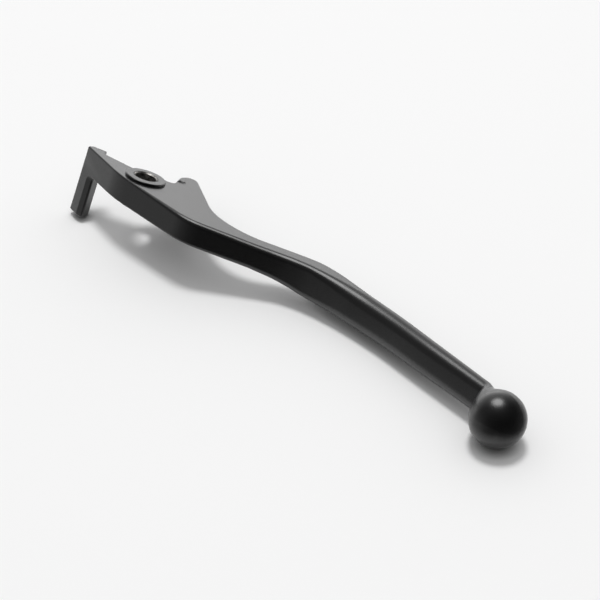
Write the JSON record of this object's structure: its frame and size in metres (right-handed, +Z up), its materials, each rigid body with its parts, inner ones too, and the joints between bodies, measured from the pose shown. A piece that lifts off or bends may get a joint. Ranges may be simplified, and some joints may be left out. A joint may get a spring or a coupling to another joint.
{
  "type": "clutch lever",
  "caption": "Forged motorcycle hand lever with a ball end, a pivot sleeve, a push lobe and a switch finger.",
  "frame": {"origin": "on the pivot axis, midway between the head's two flat faces", "axes": "+Z up the pivot axis, +X towards the ball end, +Y towards the handlebar; the switch finger hangs towards -Z"},
  "size_m": [0.2059, 0.0354, 0.0294],
  "materials": {
    "satin_black_coat": "satin black coat on forged aluminium",
    "bare_steel": "bare turned steel"
  },
  "bodies": {
    "lever": {"lever_body": "satin_black_coat"},
    "sleeve": {"pivot_sleeve": "bare_steel"}
  },
  "joints": [
    {"name": "sleeve_turn", "type": "hinge", "parent": "lever", "child": "sleeve", "pos_m": [0, 0, 0], "axis": [0, 0, 1], "continuous": true}
  ]
}
